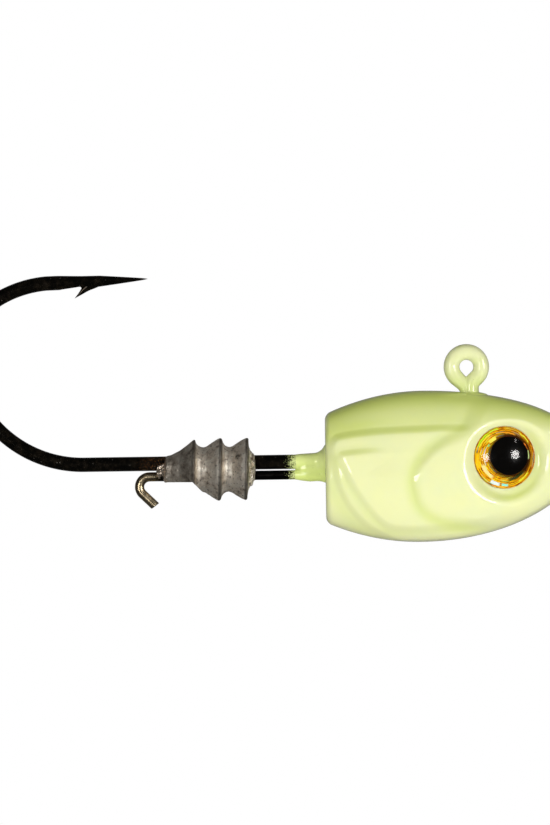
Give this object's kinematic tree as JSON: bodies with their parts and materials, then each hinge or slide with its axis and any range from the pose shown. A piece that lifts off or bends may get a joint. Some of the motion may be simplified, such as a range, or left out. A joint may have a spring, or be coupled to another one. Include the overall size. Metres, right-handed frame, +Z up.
{
  "type": "jig head",
  "caption": "Lead fish-head jig with glow paint, domed holographic eyes, an upright line-tie ring, a long barbed hook and a ringed bait keeper with a hooked wire tail.",
  "frame": {"origin": "centre of the line-tie hole", "axes": "+X along the shank to the nose, +Y to the fish's left, through the line-tie hole, +Z up from the shank to the line tie"},
  "size_m": [0.0805, 0.0128, 0.035],
  "materials": {
    "black_nickel": "glossy black nickel plate",
    "glow_paint": "gloss pale chartreuse glow powder coat over cast lead",
    "glow_coat": "gloss pale chartreuse glow powder coat",
    "bare_lead": "as-cast bare lead, dull grey with a slight sheen",
    "bronze_wire": "dark bronze-nickel plated spring wire",
    "adhesive": "translucent adhesive pad",
    "gold_foil": "gold holographic foil",
    "pupil_ink": "black printed ink",
    "clear_resin": "clear poured resin dome"
  },
  "bodies": {
    "root": {"hook": "black_nickel", "head_casting": "glow_paint", "keeper_casting": "bare_lead", "keeper_wire": "bronze_wire", "line_tie_coat": "glow_coat", "collar_coat": "glow_coat", "eye_adhesive_left": "adhesive", "eye_foil_left": "gold_foil", "eye_pupil_left": "pupil_ink", "eye_dome_left": "clear_resin", "eye_adhesive_right": "adhesive", "eye_foil_right": "gold_foil", "eye_pupil_right": "pupil_ink", "eye_dome_right": "clear_resin"}
  },
  "joints": []
}
